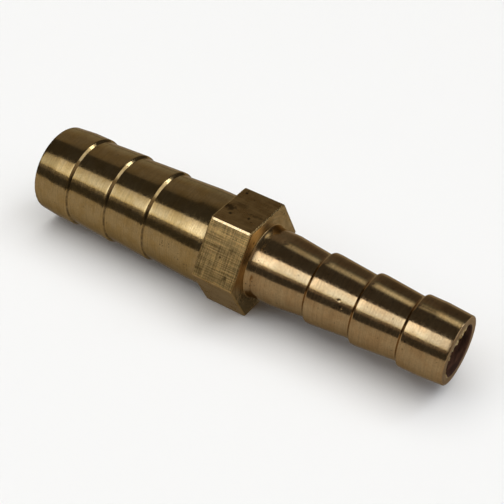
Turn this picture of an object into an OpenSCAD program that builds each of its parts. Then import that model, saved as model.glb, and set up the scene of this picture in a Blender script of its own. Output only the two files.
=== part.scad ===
// Reducing hose connector: a brass hexagon with a three-barb tail for a 13 mm hose on one side
// and a three-barb tail for a 10 mm hose on the other, turned and drilled through in one piece.
// The origin is the middle of the hexagon on the axis. +X runs to the small tail's tip, and one
// flat of the hexagon faces straight up, so that another one lies on the bench.

/* [Hexagon] */
// Width of the hexagon bar across its flats
hex_across_flats = 14; // [13.6:0.1:19]
// Length of the hexagon between the roots of the two tails
hex_length = 6.25; // [4.5:0.25:12]
// Radius of the drawn bar's long corners
hex_corner_round = 0.4; // [0.1:0.1:1.2]
// Depth of the bevel that breaks the edges between the flats and the end faces
hex_edge_break = 0.2; // [0.05:0.05:0.5]

/* [Large tail] */
// Diameter of the large tail's crests, which stretch the hose
large_crest_diameter = 13; // [12:0.1:13.3]
// Height of each large barb from its root up to its crest
large_barb_height = 0.3; // [0.15:0.05:0.8]
// Distance from one large barb to the next
large_barb_pitch = 6.5; // [4:0.1:9]
// Number of barbs on the large tail
large_barb_count = 3; // [2:1:4]
// Distance from the hexagon to the shoulder of the nearest large barb
large_neck_length = 9.2; // [6:0.05:14]
// Diameter of the large tail next to the hexagon
large_neck_diameter = 13; // [12.6:0.1:13.2]
// Length over which the large neck keeps that diameter
large_neck_land = 3.4; // [1:0.1:5]
// Length of the flat crest behind each large shoulder
large_crest_land = 0.7; // [0.5:0.1:2]
// Length of the flat crest on the last large barb, next to the tip
large_tip_land = 3.1; // [1:0.1:4.5]
// Distance from the last large shoulder to the tip
large_lead_length = 6; // [5:0.05:9]
// How far the large tip tapers in from the crest, measured on the radius
large_tip_drop = 0.25; // [0.05:0.05:0.5]
// Wall of the large tail at the roots of its barbs
large_wall = 1.2; // [0.9:0.05:1.8]

/* [Small tail] */
// Diameter of the small tail's crests, which stretch the hose
small_crest_diameter = 9.9; // [9.3:0.1:11]
// Height of each small barb from its root up to its crest
small_barb_height = 0.5; // [0.2:0.05:0.8]
// Distance from one small barb to the next
small_barb_pitch = 6.7; // [4:0.05:9]
// Number of barbs on the small tail
small_barb_count = 3; // [2:1:4]
// Distance from the hexagon to the shoulder of the nearest small barb
small_neck_length = 8.45; // [6:0.05:14]
// Diameter of the small tail next to the hexagon
small_neck_diameter = 10; // [9.4:0.1:11]
// Length over which the small neck keeps that diameter
small_neck_land = 3.3; // [1:0.1:5]
// Length of the flat crest behind each small shoulder
small_crest_land = 1.1; // [0.6:0.1:2]
// Length of the flat crest on the last small barb, next to the tip
small_tip_land = 3.1; // [1:0.1:4.5]
// Distance from the last small shoulder to the tip
small_lead_length = 6.55; // [5:0.05:9]
// How far the small tip tapers in from the crest, measured on the radius
small_tip_drop = 0.25; // [0.05:0.05:0.5]
// Wall of the small tail at the roots of its barbs
small_wall = 0.95; // [0.7:0.05:1.5]

/* [Bore] */
// Point angle of the drill that opens out the large tail
drill_point_angle = 118; // [90:1:140]
// How far the full width of the large drilling runs into the hexagon
large_bore_overrun = 1.5; // [0.5:0.1:2.5]
// Depth of the break round the mouth of the large bore
large_mouth_break = 0.15; // [0.05:0.05:0.4]
// Depth of the break round the mouth of the small bore
small_mouth_break = 0.1; // [0.05:0.05:0.3]

/* [Turning tool] */
// Length of the sloping shoulder that falls from each crest to the root behind it
shoulder_run = 0.4; // [0.1:0.05:0.5]
// Radius left on the edge of each crest
crest_round = 0.15; // [0.05:0.05:0.2]
// Radius that the tool's nose leaves in each root
root_round = 0.15; // [0.05:0.05:0.2]
// Radius where each neck meets the hexagon
neck_round = 0.15; // [0.1:0.05:0.3]
// Radius on the outer edge of each tip
tip_round = 0.1; // [0.05:0.05:0.5]

/* [Hidden] */
brass = "#b08d4f";
// Facets drawn round a full turn
turn_facets = 96;
// Straight steps in each rounded corner of a profile
arc_steps = 5;
// How far a cutter passes the face that it cuts
cut_past = 1;
hex_sides = 6;
// Turn from one flat to the next
flat_step = 360 / hex_sides;
// Slope of the bevels on the hexagon's end edges
bevel_angle = 45;
hex_half_length = hex_length / 2;
hex_apothem = hex_across_flats / 2;
hex_corner_radius = hex_apothem / cos(flat_step / 2);
large_root_radius = large_crest_diameter / 2 - large_barb_height;
small_root_radius = small_crest_diameter / 2 - small_barb_height;
large_bore_radius = large_root_radius - large_wall;
small_bore_radius = small_root_radius - small_wall;
large_tail_length = large_neck_length + (large_barb_count - 1) * large_barb_pitch + large_lead_length;
small_tail_length = small_neck_length + (small_barb_count - 1) * small_barb_pitch + small_lead_length;
drill_point_length = (large_bore_radius - small_bore_radius) / tan(drill_point_angle / 2);

// Vector of length one along v
function unit(v) = v / norm(v);

// Points of the arc that rounds the corner between the lines to the points before and after it
function corner_arc(before, corner, after, radius) =
    let (
        to_before = unit(before - corner),
        to_after = unit(after - corner),
        half_angle = acos(to_before * to_after) / 2,
        setback = radius / tan(half_angle),
        centre = corner + unit(to_before + to_after) * radius / sin(half_angle),
        from_centre = corner + to_before * setback - centre,
        to_end = corner + to_after * setback - centre,
        start = atan2(from_centre.y, from_centre.x),
        turn = atan2(cross(from_centre, to_end), from_centre * to_end)
    )
    [for (i = [0 : arc_steps])
        let (a = start + turn * i / arc_steps)
        centre + radius * [cos(a), sin(a)]];

// Closed outline with each corner [x, y, radius] rounded, or left sharp where its radius is 0
function rounded_outline(corners) =
    let (n = len(corners), xy = [for (c = corners) [c.x, c.y]])
    [for (i = [0 : n - 1])
        each (corners[i].z == 0
            ? [xy[i]]
            : corner_arc(xy[(i + n - 1) % n], xy[i], xy[(i + 1) % n], corners[i].z))];

// Corners of one barb as [radius, distance from the hexagon, rounding]: the root, the top of the
// shoulder, and the end of the flat crest, from which the ramp falls to the next root
function barb_corners(shoulder, crest_radius, root_radius, land) = [
    [root_radius, shoulder, root_round],
    [crest_radius, shoulder + shoulder_run, crest_round],
    [crest_radius, shoulder + land, 0]
];

// Section of the hexagon bar, with a flat across +X and its long corners drawn round
module hexagon_section() {
    polygon(rounded_outline([for (i = [0 : hex_sides - 1])
        let (a = i * flat_step + flat_step / 2)
        [hex_corner_radius * cos(a), hex_corner_radius * sin(a), hex_corner_round]]));
}

// Cutter that bevels the edge between one flat and the end face at +Z
module edge_cutter() {
    translate([hex_apothem - hex_edge_break, 0, hex_half_length])
        rotate([0, bevel_angle, 0])
            translate([0, -hex_across_flats / 2, 0])
                cube([cut_past, hex_across_flats, cut_past]);
}

// Hexagon between the tails, with its length along Z and the edges of both end faces broken
module hexagon() {
    difference() {
        linear_extrude(height = hex_length, center = true)
            hexagon_section();
        for (face = [0, 1], i = [0 : hex_sides - 1])
            mirror([0, 0, face])
                rotate(i * flat_step)
                    edge_cutter();
    }
}

// Outside of one tail, turned about Z from the middle of the hexagon out to the tip
module barbed_tail(crest_radius, barb_height, pitch, count, neck_length, neck_radius, neck_land,
                   crest_land, tip_land, lead_length, tip_drop) {
    root_radius = crest_radius - barb_height;
    tip = neck_length + (count - 1) * pitch + lead_length;
    fillet_radius = neck_radius + neck_round;
    inside_hexagon = [[0, -hex_half_length], [fillet_radius, -hex_half_length]];
    neck_fillet = corner_arc([fillet_radius, 0], [neck_radius, 0], [neck_radius, neck_land], neck_round);
    neck_end = [[neck_radius, neck_land, 0]];
    barbs = [for (i = [0 : count - 1])
        each barb_corners(neck_length + i * pitch, crest_radius, root_radius,
                          i < count - 1 ? crest_land : tip_land)];
    tip_end = [[crest_radius - tip_drop, tip, tip_round], [0, tip, 0]];
    translate([0, 0, hex_half_length])
        rotate_extrude($fn = turn_facets)
            polygon(concat(
                inside_hexagon,
                neck_fillet,
                rounded_outline(concat(neck_end, barbs, tip_end))
            ));
}

module large_tail() {
    barbed_tail(
        crest_radius = large_crest_diameter / 2,
        barb_height = large_barb_height,
        pitch = large_barb_pitch,
        count = large_barb_count,
        neck_length = large_neck_length,
        neck_radius = large_neck_diameter / 2,
        neck_land = large_neck_land,
        crest_land = large_crest_land,
        tip_land = large_tip_land,
        lead_length = large_lead_length,
        tip_drop = large_tip_drop
    );
}

module small_tail() {
    barbed_tail(
        crest_radius = small_crest_diameter / 2,
        barb_height = small_barb_height,
        pitch = small_barb_pitch,
        count = small_barb_count,
        neck_length = small_neck_length,
        neck_radius = small_neck_diameter / 2,
        neck_land = small_neck_land,
        crest_land = small_crest_land,
        tip_land = small_tip_land,
        lead_length = small_lead_length,
        tip_drop = small_tip_drop
    );
}

// Break round a bore's mouth, with the mouth at Z = 0 and the bore below it
module mouth_break(bore_radius, depth) {
    translate([0, 0, -depth])
        cylinder(h = depth + cut_past, r1 = bore_radius, r2 = bore_radius + depth + cut_past,
                 $fn = turn_facets);
}

// The small drilling goes right through, and the large one opens it out from the large tip
module stepped_bore() {
    large_tip = -hex_half_length - large_tail_length;
    small_tip = hex_half_length + small_tail_length;
    large_bore_end = -hex_half_length + large_bore_overrun;
    translate([0, 0, large_tip - cut_past])
        cylinder(h = small_tip - large_tip + 2 * cut_past, r = small_bore_radius, $fn = turn_facets);
    translate([0, 0, large_tip - cut_past])
        cylinder(h = large_bore_end - large_tip + cut_past, r = large_bore_radius, $fn = turn_facets);
    translate([0, 0, large_bore_end])
        cylinder(h = drill_point_length, r1 = large_bore_radius, r2 = small_bore_radius,
                 $fn = turn_facets);
    translate([0, 0, small_tip])
        mouth_break(small_bore_radius, small_mouth_break);
    translate([0, 0, large_tip])
        mirror([0, 0, 1])
            mouth_break(large_bore_radius, large_mouth_break);
}

// The whole connector, one piece of brass, laid along X with a flat of its hexagon facing up
module reducing_connector() {
    color(brass)
        rotate([0, 90, 0])
            difference() {
                union() {
                    hexagon();
                    small_tail();
                    mirror([0, 0, 1])
                        large_tail();
                }
                stepped_bore();
            }
}

reducing_connector();
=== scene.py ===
"""Looks of the reducing hose connector: one piece of brass, turned, drilled and left as machined.

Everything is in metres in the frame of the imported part: the bore runs along X, the small tail
points to +X, and the hexagon lies on one of its flats.
"""
import logging
import math
from dataclasses import dataclass, field
from enum import Enum
from typing import Any, Callable

import bmesh
import bpy
from mathutils import Matrix, Vector


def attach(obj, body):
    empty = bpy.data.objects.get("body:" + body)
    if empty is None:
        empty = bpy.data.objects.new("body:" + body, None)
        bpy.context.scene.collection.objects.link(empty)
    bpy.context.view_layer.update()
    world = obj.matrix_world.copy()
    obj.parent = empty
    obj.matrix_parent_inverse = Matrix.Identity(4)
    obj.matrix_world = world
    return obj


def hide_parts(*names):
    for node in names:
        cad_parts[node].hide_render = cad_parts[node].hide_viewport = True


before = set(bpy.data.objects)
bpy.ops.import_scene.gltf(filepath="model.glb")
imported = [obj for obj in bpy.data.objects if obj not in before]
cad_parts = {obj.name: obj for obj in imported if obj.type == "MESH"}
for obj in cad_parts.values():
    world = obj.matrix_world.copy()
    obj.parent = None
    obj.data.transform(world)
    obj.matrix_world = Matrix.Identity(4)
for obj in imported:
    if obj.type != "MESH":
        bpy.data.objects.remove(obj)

LOG = logging.getLogger("reducing_connector")
MM = 0.001
# Two points closer than this are the same point of a mesh
NEAR = 2e-7
# Turn from the middle of a flat of the hexagon to its edge
HALF_FLAT = math.radians(30)
# Angles round the axis, in degrees from +Y over the top: where the edge between the top and the
# front flat is, which way its bevel and the front flat face, and the way straight down that flat
FRONT_EDGE, FRONT_BEVEL, FRONT_FLAT, DOWN_THE_FRONT = 120, 135, 150, 240

Socket = bpy.types.NodeSocket
Point = tuple[float, float, float]
# Setting of a Map Range node that eases in and out
SMOOTH = {"interpolation_type": "SMOOTHSTEP"}


# Small helpers

def linear(hex_colour: str) -> tuple[float, float, float, float]:
    """Turns an sRGB hex colour into the linear colour that a shader takes.

    Args:
        hex_colour: the colour as "#rrggbb".

    Returns:
        Red, green, blue and an alpha of one.
    """
    channels = [int(hex_colour[i:i + 2], 16) / 255 for i in (1, 3, 5)]
    red, green, blue = (c / 12.92 if c <= 0.04045 else ((c + 0.055) / 1.055) ** 2.4 for c in channels)
    return red, green, blue, 1.0


def add_node(tree: bpy.types.NodeTree, kind: str, inputs: dict[Any, Any] | tuple[Any, ...] = (),
             output: int | str = 0, **settings: Any) -> Socket | None:
    """Adds one node to a tree, with its settings and what goes into its sockets.

    Args:
        tree: the node tree of a material or of the world.
        kind: the node's type name, without its leading "ShaderNode".
        inputs: for each input a socket to link or a value to set, in order, or by name or number.
            A colour may be a hex value.
        output: name or number of the output to return.
        settings: attributes of the node and their values.

    Returns:
        The output, or None for a node that has none.
    """
    node = tree.nodes.new("ShaderNode" + kind)
    for name, value in settings.items():
        setattr(node, name, value)
    for key, value in inputs.items() if isinstance(inputs, dict) else enumerate(inputs):
        if isinstance(value, Socket):
            tree.links.new(value, node.inputs[key])
        else:
            node.inputs[key].default_value = linear(value) if isinstance(value, str) else value
    return node.outputs[output] if len(node.outputs) else None


def stretched_distance(tree: bpy.types.NodeTree, place: Socket, centre: Point, stretch: float) -> Socket:
    """Measures the distance from a point, with lengths along X counted shorter.

    Args:
        tree: the node tree.
        place: socket with the place.
        centre: the point.
        stretch: how many times shorter lengths along X count.

    Returns:
        The socket with the distance.
    """
    away = add_node(tree, "VectorMath", (place, centre), operation="SUBTRACT")
    squeezed = add_node(tree, "VectorMath", (away, (1 / stretch, 1, 1)), operation="MULTIPLY")
    return add_node(tree, "VectorMath", (squeezed,), "Value", operation="LENGTH")


def turn_of(place: Vector) -> float:
    """Says how far round the axis a place lies, in degrees from +Y over the top."""
    return math.degrees(math.atan2(place.z, place.y)) % 360


def direction(turn: float) -> Vector:
    """Gives the direction straight out from the axis at an angle round it, in degrees."""
    return Vector((0, math.cos(math.radians(turn)), math.sin(math.radians(turn))))


def deselect_everything() -> None:
    """Leaves nothing selected and nothing active."""
    if bpy.context.mode != "OBJECT":
        bpy.ops.object.mode_set(mode="OBJECT")
    bpy.ops.object.select_all(action="DESELECT")
    bpy.context.view_layer.objects.active = None


def make_active(piece: bpy.types.Object) -> None:
    """Selects one object alone and makes it the active one.

    Args:
        piece: the object.
    """
    deselect_everything()
    piece.select_set(True)
    bpy.context.view_layer.objects.active = piece


def select_part(piece: bpy.types.Object, wanted: Callable[[Any], bool], mode: str) -> int:
    """Selects the vertices, edges or faces of the mesh in edit mode that pass a test.

    Args:
        piece: the object whose mesh is being edited.
        wanted: takes a vertex, edge or face and says whether it is picked.
        mode: "VERT", "EDGE" or "FACE".

    Returns:
        How many were picked.
    """
    bpy.ops.mesh.select_mode(type=mode)
    bpy.ops.mesh.select_all(action="DESELECT")
    mesh = bmesh.from_edit_mesh(piece.data)
    items = {"VERT": mesh.verts, "EDGE": mesh.edges, "FACE": mesh.faces}[mode]
    picked = [item for item in items if wanted(item)]
    for item in picked:
        item.select_set(True)
    mesh.select_flush_mode()
    bmesh.update_edit_mesh(piece.data)
    return len(picked)


# Finishes

@dataclass(frozen=True)
class BrassTone:
    """Colours of one brass surface, as sRGB hex values.

    Attributes:
        clean: the metal where the tool left it bright.
        warm: the same metal with a thin tarnish.
        dark: stains, what has settled in pits, and painted shade.
        edge: tint of the reflection at grazing angles.
    """
    clean: str
    warm: str
    dark: str
    edge: str = "#dcd2c2"


class MarkKind(Enum):
    """Marks that time and handling left on the metal, and one patch of painted shade."""
    STAIN = "a dark patch with ragged edges"
    PITS = "a patch of fine dark pits"


@dataclass(frozen=True)
class Mark:
    """One mark on the brass.

    Attributes:
        kind: what it is.
        place: its middle, in millimetres.
        radius: how far it reaches, in millimetres.
        share: how dark it is in its middle, from 0 to 1.
        stretch: how many times longer it is along the axis than across.
    """
    kind: MarkKind
    place: Point
    radius: float
    share: float = 0.8
    stretch: float = 1.0


class BrassShader:
    """Builds the node tree of one brass surface, on its place in millimetres."""

    def __init__(self, name: str, tone: BrassTone) -> None:
        """Starts a material with the coordinates that every brass surface reads.

        Args:
            name: name of the material.
            tone: its colours.
        """
        self.material = bpy.data.materials.new(name)
        self.material.use_nodes = True
        self.tree = self.material.node_tree
        self.tree.nodes.clear()
        self.tone = tone
        place = add_node(self.tree, "TexCoord", output="Object")
        self.place_mm = add_node(self.tree, "VectorMath", {0: place, "Scale": 1 / MM}, operation="SCALE")
        self.x, self.y, self.z = add_node(self.tree, "SeparateXYZ", (self.place_mm,)).node.outputs

    def grain(self, per_mm: float | Point, detail: float, roughness: float,
              place: Socket | None = None) -> Socket:
        """Draws a cloudy pattern.

        Args:
            per_mm: how many features it has to a millimetre, or along each of X, Y and Z.
            detail: how many finer layers it has.
            roughness: how strong those layers are.
            place: socket with the place, where it isn't the plain one.

        Returns:
            The socket with the pattern, about 0.5 on average.
        """
        factors = per_mm if isinstance(per_mm, tuple) else (per_mm, per_mm, per_mm)
        scaled = add_node(self.tree, "VectorMath", (self.place_mm if place is None else place, factors),
                          operation="MULTIPLY")
        return add_node(self.tree, "TexNoise",
                        {"Vector": scaled, "Scale": 1.0, "Detail": detail, "Roughness": roughness})

    def between(self, pattern: Socket, low: float, high: float, first: str, second: str) -> Socket:
        """Runs from one colour to another as a pattern rises.

        Args:
            pattern: socket with the pattern.
            low: value up to which the first colour holds.
            high: value from which the second colour holds.
            first: first colour, as a hex value.
            second: second colour.

        Returns:
            The socket with the colour.
        """
        share = add_node(self.tree, "MapRange", (pattern, low, high), **SMOOTH)
        return add_node(self.tree, "Mix", {0: share, 6: first, 7: second}, 2, data_type="RGBA")

    def tarnished(self, pattern: Socket) -> Socket:
        """Runs from the clean to the tarnished colour with a pattern."""
        return self.between(pattern, 0.35, 0.65, self.tone.clean, self.tone.warm)

    def shaded(self, colour: Socket, pattern: Socket, span: tuple[float, float],
               factors: tuple[float, float]) -> Socket:
        """Makes a colour darker and lighter with a pattern.

        Args:
            colour: socket with the colour.
            pattern: socket with the pattern.
            span: a low and a high value of the pattern.
            factors: what the colour is multiplied by at each of them.

        Returns:
            The socket with the colour.
        """
        factor = add_node(self.tree, "MapRange", (pattern, *span, *factors), **SMOOTH)
        return add_node(self.tree, "VectorMath", {0: colour, "Scale": factor}, operation="SCALE")

    def darkened_by_dirt_and_shade(self, colour: Socket, share: Socket) -> Socket:
        """Covers a share of a colour with the dark of stains and dirt, and of painted shade."""
        return add_node(self.tree, "Mix", {0: share, 6: colour, 7: self.tone.dark}, 2, data_type="RGBA")

    def pits(self, per_mm: float, share: float, dark: float = 1.0, radius: float = 0.32) -> Socket:
        """Scatters small round pits.

        Args:
            per_mm: how many places for a pit there are to a millimetre.
            share: share of the places that have one.
            dark: how dark a pit is, from 0 to 1.
            radius: radius of a pit, in parts of the distance between two places.

        Returns:
            The socket with that darkness in a pit and 0 between the pits.
        """
        cells = add_node(self.tree, "TexVoronoi", {"Vector": self.place_mm, "Scale": per_mm}).node.outputs
        chance = add_node(self.tree, "SeparateColor", (cells["Color"],))
        there = add_node(self.tree, "Math", (chance, share), operation="LESS_THAN")
        depth = add_node(self.tree, "MapRange", (cells["Distance"], radius * 0.5, radius, dark, 0.0),
                         **SMOOTH)
        return add_node(self.tree, "Math", (there, depth), operation="MULTIPLY")

    def marked(self, colour: Socket, marks: tuple[Mark, ...]) -> Socket:
        """Adds marks to a colour.

        Args:
            colour: socket with the colour of the surface without its marks.
            marks: the marks.

        Returns:
            The socket with the colour.
        """
        if not marks:
            return colour
        ragged = add_node(self.tree, "Math", (self.grain(2.2, 3.0, 0.65), 0.5), operation="SUBTRACT")
        fine_pits = self.pits(2.6, 0.45)
        for mark in marks:
            distance = stretched_distance(self.tree, self.place_mm, mark.place, mark.stretch)
            distance = add_node(self.tree, "Math", (ragged, mark.radius * 2.2, distance),
                                operation="MULTIPLY_ADD")
            share = add_node(self.tree, "MapRange",
                             (distance, mark.radius * 0.35, mark.radius, mark.share, 0.0), **SMOOTH)
            if mark.kind is MarkKind.PITS:
                share = add_node(self.tree, "Math", (share, fine_pits), operation="MULTIPLY")
            colour = self.darkened_by_dirt_and_shade(colour, share)
        return colour

    def root_dirt_and_shade(self, colour: Socket, roots: tuple[float, ...]) -> Socket:
        """Darkens the roots of the barbs, most of all on the lower side: dirt and painted shade.

        Args:
            colour: socket with the colour of the surface without it.
            roots: X of the roots, in millimetres.

        Returns:
            The socket with the colour.
        """
        # Painted shade and dirt: the roots darken all round except near the top of the tail
        low_side = add_node(self.tree, "MapRange", (self.z, 3.6, 5.0, 1.0, 0.1), **SMOOTH)
        ragged = add_node(self.tree, "MapRange", (self.grain(1.6, 2.0, 0.5), 0.3, 0.6, 0.4, 1.0), **SMOOTH)
        dirt = add_node(self.tree, "Math", (low_side, ragged), operation="MULTIPLY")
        for root in roots:
            offset = add_node(self.tree, "Math", (self.x, root), operation="SUBTRACT")
            away = add_node(self.tree, "Math", (offset,), operation="ABSOLUTE")
            line = add_node(self.tree, "MapRange", (away, 0.06, 0.17, 0.65, 0.0), **SMOOTH)
            colour = self.darkened_by_dirt_and_shade(colour, add_node(self.tree, "Math", (line, dirt), operation="MULTIPLY"))
        return colour

    def finish(self, colour: Socket, roughness: Socket | float, height: Socket, depth_mm: float,
               metallic: float = 1.0) -> bpy.types.Material:
        """Ends the tree with its bump and its metal shader.

        Args:
            colour: socket with the metal's colour.
            roughness: socket or value of the roughness.
            height: socket with the height of the surface, from 0 to 1.
            depth_mm: real depth that a height of one stands for.
            metallic: share of bare metal. Torn or tarnished metal also scatters light.

        Returns:
            The finished material.
        """
        bump = add_node(self.tree, "Bump", {"Height": height, "Distance": depth_mm * MM, "Strength": 1.0})
        metal = add_node(self.tree, "BsdfPrincipled",
                         {"Base Color": colour, "Metallic": metallic, "Roughness": roughness,
                          "Specular Tint": self.tone.edge, "Normal": bump})
        add_node(self.tree, "OutputMaterial", {"Surface": metal})
        return self.material


@dataclass(frozen=True)
class BrassFinish:
    """What every finish of the brass has.

    Attributes:
        name: name of the material.
        tone: its colours.
        marks: stains and pits.
        roughness: middle roughness.
    """
    name: str
    tone: BrassTone
    marks: tuple[Mark, ...] = ()
    roughness: float = 0.25


@dataclass(frozen=True)
class TurnedBrass(BrassFinish):
    """Turned outside: a bright metal with fine rings round it, which break the edges of what it
    mirrors into streaks, and a thin uneven tarnish.

    Attributes:
        roots: X of the barbs' roots, in millimetres, where dirt and painted shade sit.
        rings_per_mm: rings to a millimetre. The real ones, 7 or 8 to a millimetre, are finer than
            the pixels of the picture, so that they are drawn coarser, to show.
        ring_depth_mm: depth of the rings, for the bump.
    """
    roughness: float = 0.13
    roots: tuple[float, ...] = ()
    rings_per_mm: float = 5.0
    ring_depth_mm: float = 0.006

    def material(self) -> bpy.types.Material:
        """Makes the material.

        Returns:
            The material.
        """
        shader = BrassShader(self.name, self.tone)
        rings = shader.grain((self.rings_per_mm, 0.3, 0.3), 1.0, 0.6)
        grain = shader.grain((self.rings_per_mm, 1.6, 1.6), 2.0, 0.6)
        colour = shader.tarnished(shader.grain(0.5, 3.0, 0.6))
        colour = shader.shaded(colour, rings, (0.25, 0.75), (0.92, 1.07))
        colour = shader.shaded(colour, shader.grain(4.5, 2.0, 0.7), (0.3, 0.7), (0.92, 1.06))
        colour = shader.darkened_by_dirt_and_shade(colour, shader.pits(2.0, 0.04, 0.35))
        colour = shader.root_dirt_and_shade(shader.marked(colour, self.marks), self.roots)
        roughness = add_node(shader.tree, "MapRange",
                             (grain, 0.3, 0.7, self.roughness * 1.5, self.roughness * 0.7), **SMOOTH)
        return shader.finish(colour, roughness, grain, self.ring_depth_mm)


@dataclass(frozen=True)
class DrawnBrass(BrassFinish):
    """Flats of the drawn bar: smooth, brown with age, with faint lines along the bar, about four
    to a millimetre."""
    roughness: float = 0.24

    def material(self) -> bpy.types.Material:
        """Makes the material.

        Returns:
            The material.
        """
        shader = BrassShader(self.name, self.tone)
        lines = shader.grain((0.12, 4.0, 4.0), 2.0, 0.6)
        blotch = shader.grain(0.7, 3.0, 0.6)
        colour = shader.shaded(shader.tarnished(blotch), lines, (0.3, 0.7), (0.88, 1.1))
        colour = shader.darkened_by_dirt_and_shade(colour, shader.pits(1.8, 0.07, 0.6))
        colour = shader.marked(colour, self.marks)
        roughness = add_node(shader.tree, "MapRange",
                             (blotch, 0.3, 0.7, self.roughness * 0.85, self.roughness * 1.2), **SMOOTH)
        return shader.finish(colour, roughness, lines, 0.006)


@dataclass(frozen=True)
class StonedBrass(BrassFinish):
    """Flat that was rubbed across and along on a coarse stone: a dull, pale yellow-green weave
    of crossed scratches that scatters the light of the window.

    Attributes:
        lines_per_mm: scratches to a millimetre, drawn coarser than the real ones to show.
        scratch_length: length of a scratch, in millimetres.
    """
    roughness: float = 0.42
    lines_per_mm: float = 6.0
    scratch_length: float = 5.0

    def material(self) -> bpy.types.Material:
        """Makes the material.

        Returns:
            The material.
        """
        shader = BrassShader(self.name, self.tone)
        fine, slow = self.lines_per_mm, 1 / self.scratch_length
        along = shader.grain((slow, fine, fine), 2.0, 0.7)
        across = shader.grain((fine, slow, slow), 2.0, 0.7)
        crossed = add_node(shader.tree, "Math", (along, across), operation="ADD")
        weave = add_node(shader.tree, "Math", (crossed, 0.5), operation="MULTIPLY")
        deep = shader.grain((0.1, 2.6, 2.6), 1.0, 0.5)
        colour = shader.tarnished(shader.grain(0.6, 3.0, 0.6))
        colour = shader.shaded(colour, weave, (0.36, 0.64), (0.5, 1.5))
        colour = shader.shaded(colour, deep, (0.64, 0.7), (1.0, 1.3))
        # The stone pressed hardest near the upper edge
        colour = shader.shaded(colour, shader.z, (4.2, 6.0), (0.96, 1.4))
        colour = shader.darkened_by_dirt_and_shade(colour, shader.pits(2.2, 0.1, 0.5))
        colour = shader.marked(colour, self.marks)
        return shader.finish(colour, self.roughness, weave, 0.05)


@dataclass(frozen=True)
class FacedBrass(BrassFinish):
    """End face: the tool went across it, so that faint rings, about four to a millimetre, lie
    round the axis, and chips and dirt have pitted it.

    Attributes:
        pitted: share of the places for a pit that have one.
    """
    pitted: float = 0.1

    def material(self) -> bpy.types.Material:
        """Makes the material.

        Returns:
            The material.
        """
        shader = BrassShader(self.name, self.tone)
        across = add_node(shader.tree, "VectorMath", (shader.place_mm, (0, 1, 1)), operation="MULTIPLY")
        radius = add_node(shader.tree, "VectorMath", (across,), "Value", operation="LENGTH")
        round_axis = add_node(shader.tree, "CombineXYZ", (radius, shader.y, shader.z))
        rings = shader.grain((4.0, 0.2, 0.2), 2.0, 0.6, round_axis)
        colour = shader.tarnished(shader.grain(0.8, 3.0, 0.6))
        colour = shader.shaded(colour, rings, (0.3, 0.7), (0.85, 1.12))
        colour = shader.darkened_by_dirt_and_shade(colour, shader.pits(1.7, self.pitted, 0.8, 0.36))
        colour = shader.marked(colour, self.marks)
        return shader.finish(colour, self.roughness, rings, 0.01)


@dataclass(frozen=True)
class DrilledBrass(BrassFinish):
    """Inside of the bore: never cleaned, dark brown, with rough rings left by the drill."""
    roughness: float = 0.5

    def material(self) -> bpy.types.Material:
        """Makes the material.

        Returns:
            The material.
        """
        shader = BrassShader(self.name, self.tone)
        rings = shader.grain((2.5, 0.4, 0.4), 3.0, 0.7)
        colour = shader.between(rings, 0.35, 0.7, self.tone.dark, self.tone.warm)
        return shader.finish(colour, self.roughness, rings, 0.04, metallic=0.3)


@dataclass(frozen=True)
class FreshBrassAndPaintedHighlight(BrassFinish):
    """Fresh torn metal: chips, nicks and rubbed edges, bright and rough, which scatter light. Its light
    colour also paints glints and highlight lines.

    Attributes:
        metallic: share that mirrors rather than scatters.
    """
    metallic: float = 1.0

    def material(self) -> bpy.types.Material:
        """Makes the material.

        Returns:
            The material.
        """
        shader = BrassShader(self.name, self.tone)
        grain = shader.grain(5.0, 2.0, 0.6)
        return shader.finish(shader.tarnished(grain), self.roughness, grain, 0.02, self.metallic)


STAIN, PITS = MarkKind.STAIN, MarkKind.PITS

# Free-machining brass, turned dry and handled. The eye sees a warm metal, more olive on the large
# tail and pinker on the small one, with one bright streaked highlight along it.
LARGE_TAIL_FINISH = TurnedBrass(
    "turned_brass_large", BrassTone("#c1a473", "#ba9a64", "#3a2613"),
    (Mark(PITS, (-8.5, -6.4, 0.9), 1.6, 0.8), Mark(PITS, (-6.0, -6.45, -0.4), 1.5, 0.8),
     Mark(STAIN, (-13.2, -6.2, 1.0), 0.25, 0.6)),
    roots=(-12.46, -18.96, -25.46))
SMALL_TAIL_FINISH = TurnedBrass(
    "turned_brass_small", BrassTone("#c7a87b", "#c09d6f", "#3a2818"),
    (Mark(PITS, (3.9, -4.9, -0.4), 1.3, 0.9), Mark(STAIN, (12.05, -4.6, 0.84), 0.3, 0.7),
     Mark(STAIN, (16.7, -4.1, 2.1), 0.22, 0.6, 2.0), Mark(PITS, (4.2, -3.4, 3.6), 1.0, 0.8)))
# The drawn flats were never machined: their brown is the skin of the bar. The flat that faces up
# is given a darker brown than the others.
FLAT_FINISH = DrawnBrass("drawn_brass", BrassTone("#cbab76", "#b8965f", "#2e2012"))
TOP_FLAT_FINISH = DrawnBrass(
    "drawn_brass_top", BrassTone("#b89764", "#a28050", "#2e2012"),
    (Mark(STAIN, (-2.3, -0.8, 7.0), 0.8, 0.75, 1.3), Mark(STAIN, (-1.55, -1.98, 7.0), 0.3, 0.85),
     Mark(STAIN, (-2.21, 3.05, 7.0), 0.28, 0.9), Mark(STAIN, (1.1, -1.53, 7.0), 0.3, 0.8),
     Mark(STAIN, (1.6, -0.6, 7.0), 0.35, 0.4, 4.0), Mark(STAIN, (-1.2, 0.4, 7.0), 0.9, 0.3, 1.5)))
STONED_FINISH = StonedBrass(
    "stoned_brass", BrassTone("#caa468", "#ae8f5c", "#3a3018"),
    (Mark(STAIN, (1.57, -7.43, 1.12), 0.5, 0.75), Mark(STAIN, (1.5, -5.57, 4.35), 0.55, 0.5),
     Mark(STAIN, (-0.03, -6.28, 3.13), 0.22, 0.8), Mark(STAIN, (-2.4, -7.5, 1.0), 0.6, 0.5)))
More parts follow.
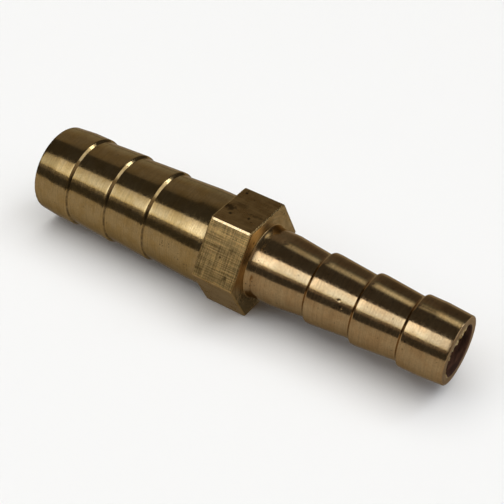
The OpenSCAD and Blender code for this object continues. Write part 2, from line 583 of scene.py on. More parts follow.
# The faces beside the small tail have caught chips and cutting oil, dried to dark specks. The wide
# dark patch over the lower part of the face is painted shade.
FACE_FINISH = FacedBrass(
    "faced_brass", BrassTone("#d2b684", "#c0a06c", "#30200f"),
    # The first mark, wide and low on the face, is painted shade
    (Mark(STAIN, (3.125, -4.4, -5.2), 4.8, 0.6), Mark(PITS, (3.125, -5.2, -3.2), 2.4, 0.95),
     Mark(STAIN, (3.125, -3.25, 5.13), 0.28, 0.9), Mark(STAIN, (3.125, 4.0, 5.45), 0.25, 0.9),
     Mark(PITS, (3.125, -4.2, 4.2), 1.6, 0.9), Mark(PITS, (3.125, 2.2, 6.0), 1.8, 0.7)), 0.4, 0.12)
# The faces of the tips are cleaner: a dull, even tan.
TIP_FACE_FINISH = FacedBrass("faced_brass_tip", BrassTone("#cdb08c", "#c0a078", "#40301c"), (), 0.36, 0.05)
# The burr and the nicks are torn metal without tarnish; their pale yellow patches with brown between them
# are also painted glints.
TORN_AND_PAINTED_GLINT_FINISH = FreshBrassAndPaintedHighlight("torn_brass_painted_glint", BrassTone("#ffe8aa", "#946a34", "#4a3418"), (), 0.28, 0.5)
# The stone rubbed the front bevel smooth, and its light cream colour also paints the bright line along it.
RUBBED_AND_PAINTED_HIGHLIGHT_FINISH = FreshBrassAndPaintedHighlight("rubbed_brass_painted_highlight", BrassTone("#f0d4a4", "#dcb47c", "#4a3418"), (), 0.22)
# The narrow fillet at the foot of the small neck is clean, and its light colour also paints a thin bright
# ring in the corner.
ROOT_AND_PAINTED_HIGHLIGHT_FINISH = FreshBrassAndPaintedHighlight("neck_root_painted_highlight", BrassTone("#dcb87c", "#b88c50", "#4a3418"), (), 0.22)
# The bore was never cleaned, and the eye sees hardly more than a warm dark brown.
BORE_FINISH = DrilledBrass("drilled_brass", BrassTone("#6a4a2c", "#6c4a38", "#3c2820"))


# The connector

@dataclass
class Tail:
    """Sizes of one barbed tail, in millimetres, most of them as in the part's source.

    Attributes:
        crest_radius: radius of the crests, which stretch the hose.
        barb_height: height of each barb from its root up to its crest.
        pitch: distance from one barb to the next.
        neck_length: distance from the hexagon to the nearest shoulder.
        neck_radius: radius next to the hexagon.
        neck_land: length over which the neck keeps that radius.
        crest_land: length of the flat crest behind each shoulder.
        tip_land: the same on the last barb, next to the tip.
        lead_length: distance from the last shoulder to the tip.
        tip_drop: how far the tip tapers in from the crest, measured on the radius.
        bore_radius: radius of the bore in this tail.
        mouth_break: depth of the break round the bore's mouth.
        barb_count: number of barbs.
        shoulder_run: length of the slope from a root up to its crest.
        crest_round: radius on the edge of each crest.
        root_round: radius in each root.
        neck_round: radius where the neck meets the hexagon.
        neck_flare: how much wider the neck is at its foot, measured on the radius.
        flare_run: length over which it narrows from there.
        flare_round: radius with which it then runs into the neck.
        tip_round: radius on the outer edge of the tip.
        lip_depth: length of the ring of faces behind the mouth that a burr is drawn from.
    """
    crest_radius: float
    barb_height: float
    pitch: float
    neck_length: float
    neck_radius: float
    neck_land: float
    crest_land: float
    tip_land: float
    lead_length: float
    tip_drop: float
    bore_radius: float
    mouth_break: float
    barb_count: int = 3
    shoulder_run: float = 0.4
    crest_round: float = 0.3
    root_round: float = 0.15
    neck_round: float = 0.15
    neck_flare: float = 0.0
    flare_run: float = 0.5
    flare_round: float = 2.4
    tip_round: float = 0.1
    lip_depth: float = 0.3

    @property
    def length(self) -> float:
        """Distance from the hexagon to the tip."""
        return self.neck_length + (self.barb_count - 1) * self.pitch + self.lead_length

    def corners(self) -> list[Point]:
        """Lists the corners of the outside from the hexagon to the bore's mouth.

        Returns:
            For each corner its distance from the hexagon, its radius and its rounding.
        """
        root = self.crest_radius - self.barb_height
        foot = self.neck_radius + self.neck_flare
        inside_mouth = self.length - self.mouth_break
        flare = [(self.flare_run, self.neck_radius, self.flare_round)] if self.neck_flare else []
        found = [(0.0, foot + self.neck_round, 0.0), (0.0, foot, self.neck_round), *flare,
                 (self.neck_land, self.neck_radius, 0.0)]
        for barb in range(self.barb_count):
            shoulder = self.neck_length + barb * self.pitch
            land = self.tip_land if barb == self.barb_count - 1 else self.crest_land
            found += [(shoulder, root, self.root_round),
                      (shoulder + self.shoulder_run, self.crest_radius, self.crest_round),
                      (shoulder + land, self.crest_radius, 0.0)]
        found += [(self.length, self.crest_radius - self.tip_drop, self.tip_round),
                  (self.length, self.bore_radius + self.mouth_break, 0.0),
                  (inside_mouth, self.bore_radius, 0.0),
                  (inside_mouth - self.lip_depth, self.bore_radius, 0.0)]
        return found


class Surface(Enum):
    """Surfaces of the connector that the tools left unlike each other."""
    LARGE_TAIL = 0
    SMALL_TAIL = 1
    DRAWN_FLAT = 2
    STONED_FLAT = 3
    HEXAGON_FACE = 4
    TIP_FACE = 5
    # The torn, rubbed and neck-root surfaces are lighter metal, partly as painted glints and highlights
    TORN = 6
    DRILLED = 7
    TOP_FLAT = 8
    NECK_ROOT = 9
    RUBBED = 10


SURFACE_FINISHES = {
    Surface.LARGE_TAIL: LARGE_TAIL_FINISH,
    Surface.SMALL_TAIL: SMALL_TAIL_FINISH,
    Surface.DRAWN_FLAT: FLAT_FINISH,
    Surface.STONED_FLAT: STONED_FINISH,
    Surface.HEXAGON_FACE: FACE_FINISH,
    Surface.TIP_FACE: TIP_FACE_FINISH,
    Surface.TORN: TORN_AND_PAINTED_GLINT_FINISH,
    Surface.DRILLED: BORE_FINISH,
    Surface.TOP_FLAT: TOP_FLAT_FINISH,
    Surface.NECK_ROOT: ROOT_AND_PAINTED_HIGHLIGHT_FINISH,
    Surface.RUBBED: RUBBED_AND_PAINTED_HIGHLIGHT_FINISH,
}


@dataclass(frozen=True)
class Dent:
    """One small dent in a tail, in millimetres.

    Attributes:
        place: its middle.
        radius: how far it reaches.
        depth: how deep it is.
        torn: radius of the bright torn metal in it, which is also a painted glint.
    """
    place: Point
    radius: float
    depth: float
    torn: float = 0.0


# Knocks of handling: a nick on the small tail, and two on the large one whose bright torn metal is a
# painted glint
DENTS = (
    Dent((16.25, -3.72, 2.71), 0.2, 0.05),
    Dent((16.9, -4.12, 2.05), 0.2, 0.03),
    Dent((-19.23, -5.49, 3.09), 0.2, 0.04, 0.11),
    Dent((-17.77, -5.42, 3.58), 0.2, 0.04, 0.11),
)


@dataclass
class Connector:
    """The whole connector, spun and joined up to one closed mesh, in millimetres and degrees.

    Attributes:
        large: the tail for the wider hose.
        small: the tail for the narrower hose.
        across_flats: width of the hexagon bar.
        hex_length: length of the hexagon.
        hex_corner_round: radius of the drawn bar's long corners.
        hex_edge_break: depth of the bevel round the hexagon's ends.
        front_bevel: how far the rubbed bevel reaches onto the top and onto the front flat.
        large_bore_overrun: how far the large drilling runs into the hexagon.
        drill_point_angle: point angle of its drill.
        round_steps: steps of the spin round the axis.
        arc_steps: straight steps in each rounded corner.
        smooth_angle: angle between two faces up to which the edge between them is shaded smooth.
        longest_edge: longest step of the mesh along the tails.
        burr_from: angle round the axis at which the burr begins.
        burr_to: angle at which it ends.
        burr_reach: how far it reaches into the bore.
        burr_scatter: how far its points stand off an even lip.
        burr_steps: number of stretches of it that reach differently far.
        piece: the object, once it is built.
    """
    large: Tail = field(default_factory=lambda: Tail(
        crest_radius=6.5, barb_height=0.3, pitch=6.5, neck_length=9.2, neck_radius=6.5, neck_land=3.4,
        crest_land=0.7, tip_land=3.1, lead_length=6.0, tip_drop=0.25, bore_radius=5.0, mouth_break=0.15))
    small: Tail = field(default_factory=lambda: Tail(
        crest_radius=4.95, barb_height=0.5, pitch=6.7, neck_length=8.45, neck_radius=5.0, neck_land=3.3,
        crest_land=1.1, tip_land=3.1, lead_length=6.55, tip_drop=0.25, bore_radius=3.5, mouth_break=0.1,
        root_round=0.08, neck_round=0.08, neck_flare=0.2, tip_round=0.15))
    across_flats: float = 14.0
    hex_length: float = 6.25
    hex_corner_round: float = 0.4
    hex_edge_break: float = 0.2
    front_bevel: tuple[float, float] = (0.08, 0.25)
    large_bore_overrun: float = 1.5
    drill_point_angle: float = 118.0
    round_steps: int = 192
    arc_steps: int = 5
    smooth_angle: float = 32.0
    longest_edge: float = 0.45
    burr_from: float = 55.0
    burr_to: float = 235.0
    burr_reach: float = 1.3
    burr_scatter: float = 0.14
    burr_steps: int = 24
    piece: bpy.types.Object | None = None

    @property
    def small_mouth(self) -> float:
        """X of the inner edge of the break round the small mouth, in millimetres."""
        return self.hex_length / 2 + self.small.length - self.small.mouth_break

    def profile(self) -> list[Point]:
        """Lists the corners of the turned outline, from the hexagon round the large tip, through
        the bore and round the small tip back to the hexagon.

        Returns:
            For each corner its X, its radius and its rounding, in millimetres.
        """
        half = self.hex_length / 2
        bore_end = -half + self.large_bore_overrun
        point = (self.large.bore_radius - self.small.bore_radius) / math.tan(
            math.radians(self.drill_point_angle / 2))
        outline = [(-half - x, r, rounding) for x, r, rounding in self.large.corners()]
        outline.append((bore_end, self.large.bore_radius, 0.0))
        outline.append((bore_end + point, self.small.bore_radius, 0.0))
        outline += [(half + x, r, rounding) for x, r, rounding in reversed(self.small.corners())]
        return outline

    def draw_profile(self) -> bpy.types.Object:
        """Draws the outline as a line of vertices in the XZ plane and rounds its corners.

        Returns:
            The object that holds the line.
        """
        corners = self.profile()
        deselect_everything()
        bpy.ops.mesh.primitive_plane_add(size=MM)
        line = bpy.context.object
        line.name = "connector_profile"
        bpy.ops.object.mode_set(mode="EDIT")
        bpy.ops.mesh.merge(type="CENTER")
        here = Vector((corners[0][0], 0, corners[0][1])) * MM
        bpy.ops.transform.translate(value=here)
        for x, radius, _ in corners[1:]:
            there = Vector((x, 0, radius)) * MM
            bpy.ops.mesh.extrude_region_move(TRANSFORM_OT_translate={"value": there - here})
            here = there
        for before, corner, after in zip(corners, corners[1:], corners[2:]):
            if corner[2]:
                self.round_corner(line, before, corner, after)
        return line

    def round_corner(self, line: bpy.types.Object, before: Point, corner: Point, after: Point) -> None:
        """Rounds one corner of the outline by a vertex bevel.

        Args:
            line: the object that holds the outline.
            before: the corner before it.
            corner: the corner, with its rounding.
            after: the corner after it.
        """
        place = Vector((corner[0], corner[1]))
        to_before = (Vector(before[:2]) - place).normalized()
        to_after = (Vector(after[:2]) - place).normalized()
        setback = corner[2] / math.tan(to_before.angle(to_after) / 2)
        target = Vector((corner[0], 0, corner[1])) * MM
        select_part(line, lambda v: (v.co - target).length < NEAR, "VERT")
        bpy.ops.mesh.bevel(offset=setback * MM, segments=self.arc_steps, affect="VERTICES")

    def split_long_edges(self, line: bpy.types.Object) -> None:
        """Divides the long edges of the outline, so that dents and shading have room.

        Args:
            line: the object that holds the outline, in edit mode.
        """
        mesh = bmesh.from_edit_mesh(line.data)
        cuts = sorted({math.ceil(e.calc_length() / (self.longest_edge * MM)) - 1 for e in mesh.edges})
        for cut in [c for c in cuts if c > 0]:
            low, high = cut * self.longest_edge * MM, (cut + 1) * self.longest_edge * MM
            if select_part(line, lambda e: low < e.calc_length() <= high, "EDGE"):
                bpy.ops.mesh.subdivide(number_cuts=cut)

    def spin_body(self) -> bpy.types.Object:
        """Spins the outline into both tails and the bore.

        Returns:
            The spun object, open where the hexagon goes.
        """
        body = self.draw_profile()
        self.split_long_edges(body)
        bpy.ops.mesh.select_all(action="SELECT")
        bpy.ops.mesh.spin(steps=self.round_steps, angle=2 * math.pi, center=(0, 0, 0), axis=(1, 0, 0))
        bpy.ops.mesh.select_all(action="SELECT")
        bpy.ops.mesh.remove_doubles(threshold=NEAR)
        bpy.ops.object.mode_set(mode="OBJECT")
        return body

    def hexagon(self) -> bpy.types.Object:
        """Makes the hexagon bar between the tails, open at both ends.

        Returns:
            The object.
        """
        corner = self.across_flats / 2 / math.cos(HALF_FLAT) * MM
        deselect_everything()
        bpy.ops.mesh.primitive_cylinder_add(vertices=6, radius=corner, depth=self.hex_length * MM,
                                            rotation=(0, math.pi / 2, 0))
        bar = bpy.context.object
        bar.name = "hexagon"
        bpy.ops.object.transform_apply(rotation=True)
        bpy.ops.object.mode_set(mode="EDIT")
        face = self.hex_length / 2 * MM - NEAR
        setback = self.hex_corner_round * math.tan(HALF_FLAT) * MM
        select_part(bar, self.is_front_edge, "EDGE")
        bpy.ops.mesh.bevel(offset=setback, segments=1, affect="EDGES")
        self.slide_front_bevel(bar, setback)
        select_part(bar, lambda e: self.runs_along(e)
                    and math.hypot(e.verts[0].co.y, e.verts[0].co.z) > corner - NEAR, "EDGE")
        bpy.ops.mesh.bevel(offset=setback, segments=self.arc_steps, affect="EDGES")
        select_part(bar, lambda e: abs(e.verts[0].co.x + e.verts[1].co.x) > face * 2, "EDGE")
        bpy.ops.mesh.bevel(offset=self.hex_edge_break * MM, segments=2, affect="EDGES")
        select_part(bar, lambda f: all(abs(v.co.x) > face for v in f.verts), "FACE")
        bpy.ops.mesh.delete(type="FACE")
        # The flats are divided both ways, so that their faces are no coarser than the tails'
        select_part(bar, lambda e: e.calc_length() > 5 * MM
                    and abs(e.verts[0].co.x - e.verts[1].co.x) < NEAR, "EDGE")
        bpy.ops.mesh.subdivide(number_cuts=31)
        select_part(bar, self.runs_along, "EDGE")
        bpy.ops.mesh.subdivide(number_cuts=15)
        bpy.ops.object.mode_set(mode="OBJECT")
        return bar

    def runs_along(self, edge: bmesh.types.BMEdge) -> bool:
        """Says whether an edge runs along the bar."""
        return abs(edge.verts[0].co.x - edge.verts[1].co.x) > MM

    def is_front_edge(self, edge: bmesh.types.BMEdge) -> bool:
        """Says whether an edge of the bar is the long one between the top and the front flat."""
        return self.runs_along(edge) and abs(turn_of(edge.verts[0].co) - FRONT_EDGE) < 1

    def slide_front_bevel(self, bar: bpy.types.Object, setback: float) -> None:
        """Tips the bevel of the front edge towards the front flat, where the stone rubbed it wider.

        Args:
            bar: the hexagon, in edit mode.
            setback: how far both edges of the bevel are from the corner now.
        """
        on_top, on_front = (reach * MM for reach in self.front_bevel)
        top = self.across_flats / 2 * MM
        for upper, move in ((True, Vector((0, -1, 0)) * (setback - on_top)),
                            (False, direction(DOWN_THE_FRONT) * (on_front - setback))):
            select_part(bar, lambda v: abs(turn_of(v.co) - FRONT_EDGE) < 3
                        and (abs(v.co.z - top) < NEAR) == upper, "VERT")
            bpy.ops.transform.translate(value=move)

    def on_burr_lip(self, face: bmesh.types.BMFace) -> bool:
        """Says whether a face is on the ring behind the small mouth, where the burr is.

        Args:
            face: a face of the connector.

        Returns:
            Whether the burr grows from it.
        """
        centre = face.calc_center_median()
        off_bore = abs(math.hypot(centre.y, centre.z) - self.small.bore_radius * MM)
        return (self.small_mouth - self.small.lip_depth < centre.x / MM < self.small_mouth
                and off_bore < 0.02 * MM and self.burr_from < turn_of(centre) < self.burr_to)

    def raise_burr(self) -> None:
        """Draws the lip of the small mouth inwards on the near side, where the drill left a burr,
        and breaks its edge up."""
        bore = self.small.bore_radius
        centre = Vector((self.small_mouth - self.small.lip_depth / 2, 0, 0)) * MM
        select_part(self.piece, self.on_burr_lip, "FACE")
        bpy.ops.mesh.extrude_region_move()
        lip = {v.index for v in bmesh.from_edit_mesh(self.piece.data).verts if v.select}
        width = (self.burr_to - self.burr_from) / self.burr_steps
        for step in range(self.burr_steps):
            low = self.burr_from + step * width
            # Deepest a quarter of the way round, down to nothing at both ends, and uneven
            way = (step + 0.5) / self.burr_steps
            share = math.sin(math.pi * math.sqrt(way)) ** 3 + 0.1 * math.sin(step * 2.4)
            wanted = 1 - self.burr_reach / bore * share
            select_part(self.piece, lambda v: v.index in lip and low <= turn_of(v.co) < low + width, "VERT")
            bpy.ops.transform.resize(value=(1, wanted, wanted), center_override=centre)
        select_part(self.piece, lambda v: v.index in lip
                    and math.hypot(v.co.y, v.co.z) < (bore - 0.04) * MM, "VERT")
        bpy.ops.transform.vertex_random(offset=self.burr_scatter * MM, uniform=1.0, seed=4)
        # Drawn together along the axis again, so that no chip stands out of the mouth
        bpy.ops.transform.resize(value=(0.8, 1, 1), center_override=centre)

    def press_dent(self, dent: Dent) -> None:
        """Presses one dent into a tail, with a finer mesh round it.

        Args:
            dent: where and how deep.
        """
        place = Vector(dent.place) * MM
        reach = dent.radius * MM
        # The faces are divided to a little beyond the rim. Then only the middle is pushed in, and
        # the slope round it follows by proportional editing.
        select_part(self.piece, lambda f: (f.calc_center_median() - place).length < reach * 1.6, "FACE")
        bpy.ops.mesh.subdivide(number_cuts=4)
        select_part(self.piece, lambda v: (v.co - place).length < reach * 0.35, "VERT")
        inwards = Vector((0, -place.y, -place.z)).normalized() * dent.depth * MM
        bpy.ops.transform.translate(value=inwards, use_proportional_edit=True,
                                    proportional_edit_falloff="SMOOTH", proportional_size=reach)

    def build(self) -> None:
        """Joins the hexagon to the spun tails, closes the seams and adds the burr and the dents."""
        body = self.spin_body()
        bar = self.hexagon()
        make_active(body)
        bar.select_set(True)
        bpy.ops.object.join()
        bpy.ops.object.mode_set(mode="EDIT")
        for side in (-1, 1):
            select_part(body, lambda e: e.is_boundary and e.verts[0].co.x * side > 0, "EDGE")
            bpy.ops.mesh.fill(use_beauty=True)
        bpy.ops.mesh.select_all(action="SELECT")
        bpy.ops.mesh.remove_doubles(threshold=NEAR)
        bpy.ops.mesh.normals_make_consistent(inside=False)
        self.piece = body
        self.raise_burr()
        for dent in DENTS:
            self.press_dent(dent)
        select_part(body, self.bounds_a_flat, "EDGE")
        bpy.ops.mesh.mark_sharp()
        bpy.ops.object.mode_set(mode="OBJECT")
        body.name = body.data.name = "reducing_connector_brass"
        make_active(body)
        bpy.ops.object.shade_smooth_by_angle(angle=math.radians(self.smooth_angle))

    def bounds_a_flat(self, edge: bmesh.types.BMEdge) -> bool:
        """Says whether an edge bounds a flat face, which stays flat to the eye right up to it."""
        return len(edge.link_faces) == 2 and len({self.lies_flat(face) for face in edge.link_faces}) == 2

    def lies_flat(self, face: bmesh.types.BMFace) -> bool:
        """Says whether a face is part of an end face or of a flat of the hexagon.

        Args:
            face: a face of the connector.

        Returns:
            Whether it is.
        """
        if abs(face.normal.x) > 0.9999:
            return True
        centre = face.calc_center_median()
        if abs(centre.x) > self.hex_length / 2 * MM or abs(face.normal.x) > 0.001:
            return False
        return abs(centre.dot(face.normal) - self.across_flats / 2 * MM) < NEAR

    def surface_of(self, centre: Vector, normal: Vector) -> Surface:
        """Says which tool left a face of the mesh.

        Args:
            centre: middle of the face, in metres.
            normal: its normal.

        Returns:
            The surface that the face belongs to.
        """
        half = self.hex_length / 2 * MM
        radius = math.hypot(centre.y, centre.z)
        outwards = (centre.y * normal.y + centre.z * normal.z) / max(radius, NEAR)
        lip = (self.small_mouth - self.small.lip_depth) * MM
        mouth_radius = (self.small.bore_radius + self.small.mouth_break) * MM
        faced = abs(normal.x) > 0.98
        # The burr and the dents get torn metal, whose light colour also paints glints
        if (centre.x > lip - NEAR and radius < mouth_radius
                and self.burr_from < turn_of(centre) < self.burr_to):
            return Surface.TORN
        if any((centre - Vector(dent.place) * MM).length < dent.torn * MM for dent in DENTS):
            return Surface.TORN
        # The front bevel's light colour also paints a highlight line
        # Among the hexagon's faces only those of its front bevel look this way so far out
        if abs(centre.x) < half and radius > 7.9 * MM and normal.dot(direction(FRONT_BEVEL)) > 0.97:
            return Surface.RUBBED
        if outwards < -0.2:
            return Surface.DRILLED
        # The fillet at the foot of the small neck is light metal, partly a painted highlight
        if 0 < centre.x - half < 0.75 * self.small.neck_round * MM and not faced:
            return Surface.NECK_ROOT
        if faced:
            return Surface.TIP_FACE if abs(centre.x) > 2 * half else Surface.HEXAGON_FACE
        if abs(centre.x) < half:
            # The stone also took the bevel between the front flat and the small tail's face
            on_bevel = centre.x > half - self.hex_edge_break * MM
            if normal.dot(direction(FRONT_FLAT)) > (0.5 if on_bevel else 0.99):
                return Surface.STONED_FLAT
            return Surface.TOP_FLAT if normal.z > 0.99 else Surface.DRAWN_FLAT
        return Surface.SMALL_TAIL if centre.x > 0 else Surface.LARGE_TAIL

    def dress(self) -> None:
        """Gives each surface of the connector its finish."""
        for surface in Surface:
            self.piece.data.materials.append(SURFACE_FINISHES[surface].material())
        for face in self.piece.data.polygons:
            face.material_index = self.surface_of(face.center, face.normal).value

    def place(self) -> None:
        """Sets the connector in the place of the CAD solid."""
        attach(self.piece, "root")
        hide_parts("reducing_connector")


# The studio

@dataclass(frozen=True)
class LightPanel:
    """One upright soft panel of light beside the table. Angles are in degrees.

    Attributes:
        name: its name.
        facing: direction of the foot of the perpendicular from the connector, from -Y towards +X.
        across: from its left to its right edge, the direction, the brightness there and the
            colour as an sRGB hex value.
        upwards: from its lower to its upper edge, the elevation in the direction that it faces,
            the share of the brightness there and the colour.
    """
    name: str
    facing: float
    across: tuple[tuple[float, float, str], ...]
    upwards: tuple[tuple[float, float, str], ...]


WHITE = "#ffffff"

# What the metal mirrors: a window in front on the left, another behind on the right, a bright
# strip high up behind, and dim walls. All else is dark, so the turned faces show hard-edged bands.
LIGHT_PANELS = (
    LightPanel("window", -5,
               ((-65, 0.7, "#eef7ff"), (-56, 0.78, "#eef7ff"), (-48, 1.0, "#eef7ff"),
                (-42, 1.3, "#eaf3ff"), (-36, 1.85, "#e4efff"), (-30, 2.6, "#e2edff"),
                (-24, 2.55, "#deebff"), (-18, 2.15, "#dcebff"), (-12, 1.95, "#dcecff"),
                (-9, 1.95, "#dcecff"), (-6, 1.5, "#dfecff"), (4, 1.25, "#dfecff")),
               ((27.7, 0.72, "#ffefcc"), (31, 0.86, "#fff8e8"), (35, 0.98, WHITE), (40, 1.05, WHITE),
                (56, 1.03, "#fff8f2"), (60.8, 1.1, "#fff4ea"))),
    LightPanel("window_sill", -5,
               ((-65, 0.2, "#fff6eb"), (-38, 0.145, "#fff6eb"), (-23, 0.25, "#fff2e2"),
                (-11, 0.2, "#fff0e0"), (-5, 0.15, "#ffe8d4"), (4, 0.14, "#ffe8d4")),
               ((19, 0.8, WHITE), (25.5, 1.2, WHITE))),
    LightPanel("pillar", 38, ((6, 0.1, "#fff0e0"), (20, 0.24, "#fff0e0"), (70, 0.26, "#fff4e8")),
               ((25, 0.8, WHITE), (40, 1.0, WHITE), (66, 1.0, WHITE))),
    LightPanel("right_window", 115,
               ((72, 1.0, "#e8f0ff"), (84, 1.25, "#e8f0ff"), (95, 1.1, "#e8f0ff"),
                (106, 1.2, "#e8f0ff"), (117, 0.95, "#e8f0ff"), (128, 1.3, "#e8f0ff"),
                (134, 1.15, "#e8f0ff"), (139, 0.7, "#e8f0ff"), (146, 0.45, "#e8f0ff"),
                (158, 0.33, "#e8f0ff")),
               ((29, 0.8, WHITE), (40, 1.0, WHITE), (52, 1.1, WHITE), (58, 1.2, WHITE),
                (63, 0.9, WHITE), (68, 0.45, WHITE), (74, 0.2, WHITE))),
    LightPanel("far_wall", -135,
               ((-157, 0.125, "#fff6ea"), (-150, 0.17, "#fff6ea"), (-144, 0.19, "#fff4e6"),
                (-112, 0.18, "#fff2de")),
               ((-1, 2.6, "#e0eeff"), (4, 2.3, "#e4f0ff"), (12, 1.75, "#ecf4ff"), (22, 1.2, WHITE),
                (30, 0.95, WHITE), (44, 0.95, WHITE), (50, 0.85, WHITE), (54, 0.7, WHITE),
                (60, 0.15, WHITE))),
    LightPanel("far_low", -165,
               ((-180, 0.05, "#fff0e0"), (-171, 0.065, "#fff0e0"), (-166, 0.09, "#fff0e0"),
                (-163, 0.115, "#fff0e0"), (-157.3, 0.125, "#fff4e8")),
               ((-1, 2.0, "#f0f6ff"), (8, 1.35, WHITE), (19, 1.0, WHITE), (31, 1.0, WHITE),
                (38, 1.0, WHITE), (42, 1.1, WHITE))),
    LightPanel("far_strip", -197,
               ((-182, 0.95, "#fcfff4"), (-168, 0.93, "#fcfff4"), (-163, 0.6, "#fcfff4"),
                (-159, 0.44, "#fcfff4"), (-155, 0.41, "#fcfff4"), (-144, 0.44, "#fcfff4"),
                (-141, 0.36, "#fcfff4"), (-137, 0.22, "#fcfff4"), (-131, 0.1, "#fcfff4"),
                (-124, 0.02, "#fcfff4")),
               ((46.7, 0.1, WHITE), (52, 0.2, WHITE), (56.5, 0.42, WHITE), (60, 0.8, WHITE),
                (63, 1.0, WHITE), (68, 1.0, WHITE), (71, 0.75, WHITE), (73.5, 0.45, WHITE),
                (76, 0.1, WHITE))),
    LightPanel("high_corner", 146, ((139, 5.5, "#e6f0ff"), (153, 6.2, "#e6f0ff")),
               ((40, 0.6, WHITE), (50, 1.0, WHITE), (58, 1.0, WHITE))),
)


@dataclass
class Studio:
    """Pale floor, soft light and camera.

    Attributes:
        floor_height: Z of the floor, in millimetres.
        floor_size: width of the floor, in metres.
        panel_distance: distance of each light panel from the connector, in metres.
        shadow_centre: middle of the shadow painted on the glowing sheet that the metal mirrors, in
            millimetres.
        shadow_stretch: how many times longer that shadow is along X than across.
        sheet: distance from that middle, in millimetres, and brightness there of the glowing sheet with its
            painted shadow.
        lamp_height: height of the light overhead, in metres.
        lamp_width: its width, in metres.
        lamp_power: its power, in watts.
        lens: focal length of the camera for a sensor 36 mm wide, in millimetres.
        eye: place of the camera, in millimetres.
        eye_right: direction that runs to the right in the picture.
        eye_down: direction that runs down in it.
        eye_forward: direction that the camera looks in.
    """
    floor_height: float = -7.0
    floor_size: float = 4.0
    panel_distance: float = 1.2
    shadow_centre: Point = (-6.0, 3.0, 0.0)
    shadow_stretch: float = 4.0
    sheet: tuple[tuple[float, float], ...] = ((0, 0.11), (4.5, 0.13), (8.5, 0.22), (13, 0.32), (18, 0.39),
                                              (150, 0.39), (200, 0.06))
    lamp_height: float = 1.6
    lamp_width: float = 2.4
    lamp_power: float = 38.0
    lens: float = 82.56
    eye: Point = (60.846, -103.558, 96.789)
    eye_right: Point = (0.83651, 0.54399, 0.06578)
    eye_down: Point = (0.38548, -0.49889, -0.77622)
    eye_forward: Point = (-0.38944, 0.67467, -0.62702)

    def ramp(self, tree: bpy.types.NodeTree, value: Socket, spots: list[float],
             colours: list[Vector]) -> Socket:
        """Runs through a row of colours.

        Args:
            tree: the node tree.
            value: socket with the place along the row.
            spots: place of each colour.
            colours: the colours, linear.

        Returns:
            The socket with the colour.
        """
        place = add_node(tree, "MapRange", (value, spots[0], spots[-1]))
        found = add_node(tree, "ValToRGB", (place,))
        elements = found.node.color_ramp.elements
        for stop, (spot, colour) in enumerate(zip(spots, colours)):
            if stop > 1:
                elements.new(1.0)
            elements[stop].position = (spot - spots[0]) / (spots[-1] - spots[0])
            elements[stop].color = (*colour, 1.0)
        return found

    def panel(self, light: LightPanel) -> None:
        """Stands a soft panel of light beside the table, upright and facing the connector.

        Args:
            light: where the panel is and how bright.
        """
        deselect_everything()
        bpy.ops.mesh.primitive_plane_add(size=1)
        panel = bpy.context.object
        panel.name = light.name
        columns = [self.panel_distance * math.tan(math.radians(angle - light.facing))
                   for angle, _, _ in light.across]
        rows = [self.panel_distance * math.tan(math.radians(angle)) for angle, _, _ in light.upwards]
        for vertex in panel.data.vertices:
            vertex.co.x = columns[-1] if vertex.co.x > 0 else columns[0]
            vertex.co.y = rows[-1] if vertex.co.y > 0 else rows[0]
        facing = math.radians(light.facing)
        side = Vector((math.cos(facing), math.sin(facing), 0))
        outwards = Vector((math.sin(facing), -math.cos(facing), 0))
        turn = Matrix((side, Vector((0, 0, 1)), outwards)).transposed().to_4x4()
        panel.matrix_world = Matrix.Translation(outwards * self.panel_distance) @ turn
        material = bpy.data.materials.new(light.name)
        material.use_nodes = True
        tree = material.node_tree
        tree.nodes.clear()
        place = add_node(tree, "TexCoord", output="Object")
        x, y, _ = add_node(tree, "SeparateXYZ", (place,)).node.outputs
        brightest = max(strength for _, strength, _ in light.across)
        highest = max(share for _, share, _ in light.upwards)
        across = self.ramp(tree, x, columns,
                           [Vector(linear(c)[:3]) * (s / brightest) for _, s, c in light.across])
        upwards = self.ramp(tree, y, rows,
                            [Vector(linear(c)[:3]) * (s / highest) for _, s, c in light.upwards])
        colour = add_node(tree, "VectorMath", (across, upwards), operation="MULTIPLY")
        glow = add_node(tree, "Emission", (colour, brightest * highest))
        add_node(tree, "OutputMaterial", (glow,))
        panel.data.materials.append(material)
        panel.visible_camera = False

    def floor(self) -> None:
        """Lays the pale floor under the hexagon, with a glowing sheet and painted shadow that the metal
        mirrors instead.
        """
        deselect_everything()
        bpy.ops.mesh.primitive_plane_add(size=self.floor_size, location=(0, 0, self.floor_height * MM))
        floor = bpy.context.object
        floor.name = "floor"
        material = bpy.data.materials.new("pale_floor")
        material.use_nodes = True
        tree = material.node_tree
        tree.nodes.clear()
        paper = add_node(tree, "BsdfPrincipled", {"Base Color": "#e9e7e3", "Roughness": 0.9,
                                                  "Specular IOR Level": 0.1})
        place = add_node(tree, "TexCoord", output="Object")
        # Painted shadow: the glowing sheet grows brighter with distance from the connector's middle
        away = stretched_distance(tree, place, Vector(self.shadow_centre) * MM, self.shadow_stretch)
        sheet = self.ramp(tree, away, [spot * MM for spot, _ in self.sheet],
                          [Vector((light, light, light)) for _, light in self.sheet])
        warm = add_node(tree, "VectorMath", (sheet, linear("#fff8ee")[:3]), operation="MULTIPLY")
        glow = add_node(tree, "Emission", (warm, 1.0))
        # The eye sees plain pale paper. The metal mirrors a darker glowing sheet instead, with a painted
        # shadow darkest round the connector, because the metal of the photograph shows no white floor in
        # its lower bands.
        mirrored = add_node(tree, "LightPath", output="Is Glossy Ray")
        add_node(tree, "OutputMaterial", (add_node(tree, "MixShader", (mirrored, paper, glow)),))
        floor.data.materials.append(material)

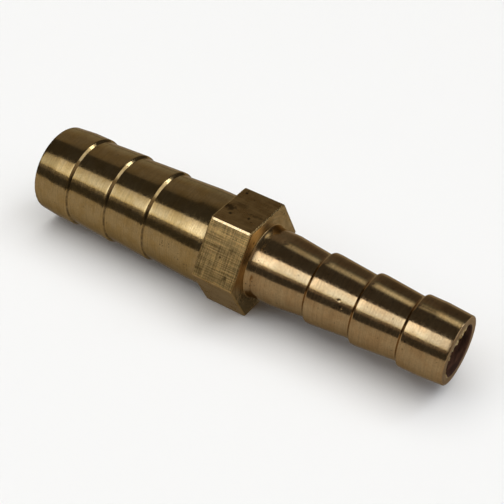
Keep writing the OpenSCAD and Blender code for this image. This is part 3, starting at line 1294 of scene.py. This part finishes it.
    def overhead(self) -> None:
        """Hangs a wide soft light over the floor. The metal doesn't mirror it."""
        lamp = bpy.data.lights.new("overhead", "AREA")
        lamp.shape = "SQUARE"
        lamp.size = self.lamp_width
        lamp.energy = self.lamp_power
        lamp_object = bpy.data.objects.new("overhead", lamp)
        lamp_object.location = (0, 0, self.lamp_height)
        lamp_object.visible_glossy = False
        lamp_object.visible_camera = False
        bpy.context.scene.collection.objects.link(lamp_object)

    def world(self) -> None:
        """Darkens the room round the table."""
        world = bpy.data.worlds.new("room")
        bpy.context.scene.world = world
        world.use_nodes = True
        tree = world.node_tree
        tree.nodes.clear()
        # Beyond the floor the eye sees a pale room. To the metal the room is nearly dark, so that it
        # mirrors only the panels, with deep brown bands between them.
        seen = add_node(tree, "LightPath", output="Is Camera Ray")
        strength = add_node(tree, "MapRange", {"Value": seen, "To Min": 0.05, "To Max": 0.8})
        add_node(tree, "OutputWorld", (add_node(tree, "Background", ("#f8f2ea", strength)),))

    def camera(self) -> None:
        """Sets the camera at the photograph's viewing angle."""
        lens = bpy.data.cameras.new("camera")
        lens.lens = self.lens
        lens.sensor_width = 36
        lens.clip_start = 0.005
        eye = bpy.data.objects.new("camera", lens)
        turn = Matrix((self.eye_right, -Vector(self.eye_down), -Vector(self.eye_forward)))
        eye.matrix_world = Matrix.Translation(Vector(self.eye) * MM) @ turn.transposed().to_4x4()
        bpy.context.scene.collection.objects.link(eye)
        bpy.context.scene.camera = eye

    def build(self) -> None:
        """Sets up the floor, the lights and the camera."""
        self.floor()
        self.overhead()
        self.world()
        for light in LIGHT_PANELS:
            self.panel(light)
        self.camera()
        bpy.context.scene.view_settings.view_transform = "Standard"


def main() -> None:
    """Builds the connector and its studio."""
    logging.basicConfig(level=logging.INFO, format="%(name)s: %(message)s")
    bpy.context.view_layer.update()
    connector = Connector()
    connector.build()
    connector.dress()
    connector.place()
    LOG.info("connector: %d faces", len(connector.piece.data.polygons))
    Studio().build()
    LOG.info("studio built")


if __name__ == "__main__":
    main()
